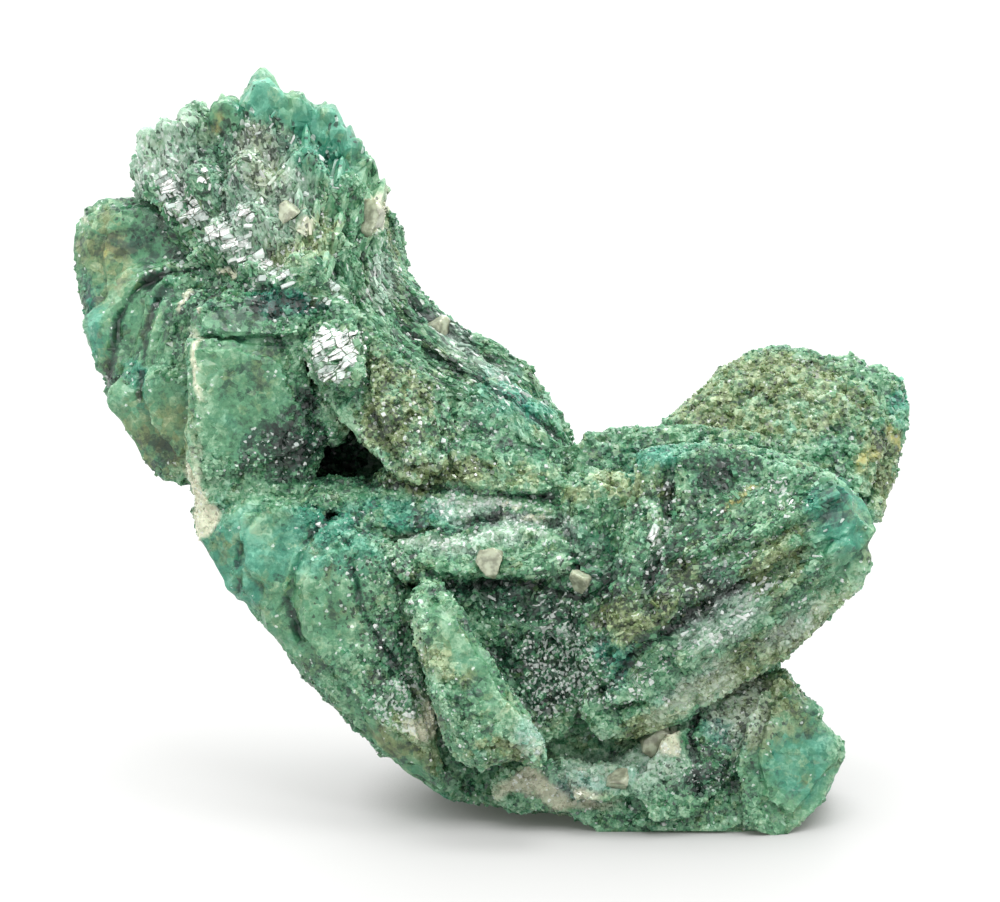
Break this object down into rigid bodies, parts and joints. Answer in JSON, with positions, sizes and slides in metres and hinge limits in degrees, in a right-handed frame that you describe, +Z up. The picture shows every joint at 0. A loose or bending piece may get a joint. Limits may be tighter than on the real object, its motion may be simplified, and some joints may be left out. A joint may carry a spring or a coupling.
{
  "type": "cahnite with borcarite mineral specimen",
  "caption": "Boat-shaped cluster of intergrown tabular green borcarite crystals, with a fan of blades at one end and small tan cahnite crystals seated on it, for display.",
  "frame": {"origin": "centre of the bounding box's base, on the surface the specimen rests on", "axes": "+X to the picture's right, towards the rear lobe; +Y away from the viewer; +Z up"},
  "size_m": [0.042, 0.024, 0.0357],
  "materials": {
    "borcarite": "glassy to pearly, slightly see-through, speckled",
    "cahnite": "glassy, cloudy tan"
  },
  "bodies": {
    "root": {"borcarite_cluster": "borcarite", "cahnite_crystal_1": "cahnite", "cahnite_crystal_2": "cahnite", "cahnite_crystal_3": "cahnite", "cahnite_crystal_4": "cahnite", "cahnite_crystal_5": "cahnite", "cahnite_crystal_6": "cahnite", "cahnite_crystal_7": "cahnite"}
  },
  "joints": []
}
